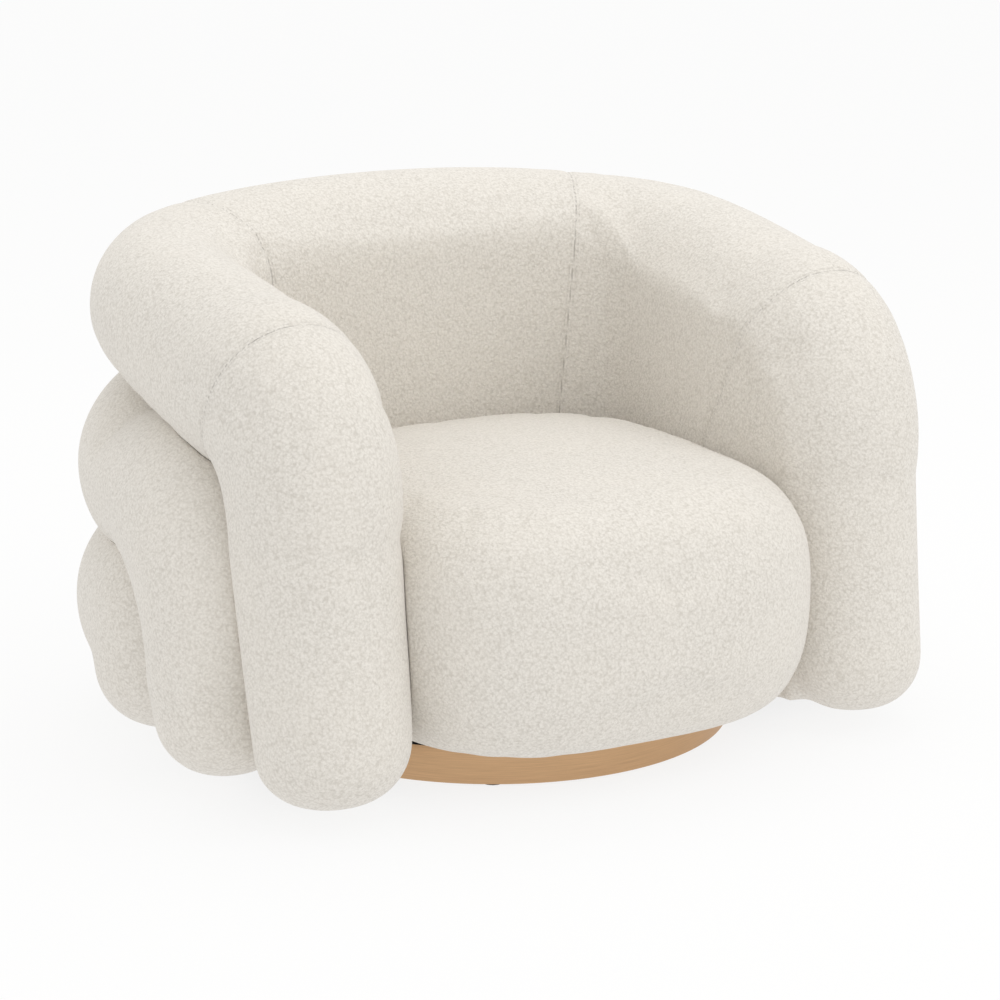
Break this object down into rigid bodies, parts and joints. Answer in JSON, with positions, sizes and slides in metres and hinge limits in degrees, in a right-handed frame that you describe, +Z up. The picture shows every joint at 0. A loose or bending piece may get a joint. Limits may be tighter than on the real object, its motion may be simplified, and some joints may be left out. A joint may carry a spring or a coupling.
{
  "type": "swivel armchair",
  "caption": "Fully upholstered armchair with stacked padded rolls round its back and arms, a bulging tight seat and a round metal-banded swivel plinth.",
  "frame": {"origin": "on the floor at the middle of the chair's outline, on the swivel axis", "axes": "+X to the sitter's left, the widest way; -Y the way the sitter faces; +Z up"},
  "size_m": [1.0762, 0.898, 0.6971],
  "materials": {
    "boucle": "off-white looped boucle wool-blend",
    "brass_band": "satin, brushed round the band",
    "bearing_steel": "zinc-plated pressed steel",
    "plywood": "unfinished birch plywood",
    "frame_timber": "planed softwood",
    "hardboard": "tempered hardboard",
    "webbing": "woven elastic seat webbing",
    "glide_nylon": "moulded nylon",
    "dust_cloth": "spun-bonded cambric"
  },
  "bodies": {
    "plinth": {"plinth_band": "brass_band", "plinth_core": "plywood", "plinth_top_board": "plywood", "floor_glide_1": "glide_nylon", "floor_glide_2": "glide_nylon", "floor_glide_3": "glide_nylon", "floor_glide_4": "glide_nylon", "floor_glide_5": "glide_nylon", "floor_glide_6": "glide_nylon", "bearing_lower_race": "bearing_steel", "lower_screw_1": "bearing_steel", "lower_screw_2": "bearing_steel", "lower_screw_3": "bearing_steel", "lower_screw_4": "bearing_steel"},
    "ball_cage": {"ball_cage": "bearing_steel"},
    "chair": {"bearing_upper_race": "bearing_steel", "upper_screw_1": "bearing_steel", "upper_screw_2": "bearing_steel", "upper_screw_3": "bearing_steel", "upper_screw_4": "bearing_steel", "swivel_board": "plywood", "bearer_front": "frame_timber", "bearer_rear": "frame_timber", "seat_rail_front": "frame_timber", "seat_rail_rear": "frame_timber", "seat_rail_left": "frame_timber", "seat_rail_right": "frame_timber", "corner_block_front_right": "frame_timber", "corner_block_front_left": "frame_timber", "corner_block_rear_right": "frame_timber", "corner_block_rear_left": "frame_timber", "web_long_1": "webbing", "web_long_2": "webbing", "web_long_3": "webbing", "web_long_4": "webbing", "web_cross_1": "webbing", "web_cross_2": "webbing", "web_cross_3": "webbing", "web_cross_4": "webbing", "bottom_rib": "plywood", "seat_rib": "plywood", "top_rib": "plywood", "post_right_1": "frame_timber", "post_right_2": "frame_timber", "post_right_3": "frame_timber", "post_left_1": "frame_timber", "post_left_2": "frame_timber", "post_left_3": "frame_timber", "front_post_left": "frame_timber", "front_post_right": "frame_timber", "inner_skin": "hardboard", "outer_skin": "hardboard", "dust_cover": "dust_cloth", "top_roll": "boucle", "middle_roll": "boucle", "bottom_roll": "boucle", "inner_back_pad": "boucle", "seat_cushion": "boucle"}
  },
  "joints": [
    {"name": "seat_swivel", "type": "hinge", "parent": "plinth", "child": "chair", "pos_m": [0, 0, 0.058], "axis": [0, 0, 1], "continuous": true},
    {"name": "cage_roll", "type": "hinge", "parent": "plinth", "child": "ball_cage", "pos_m": [0, 0, 0.058], "axis": [0, 0, 1], "continuous": true}
  ],
  "couplings": [
    {"joint": "cage_roll", "follows": "seat_swivel", "ratio": 0.5}
  ]
}
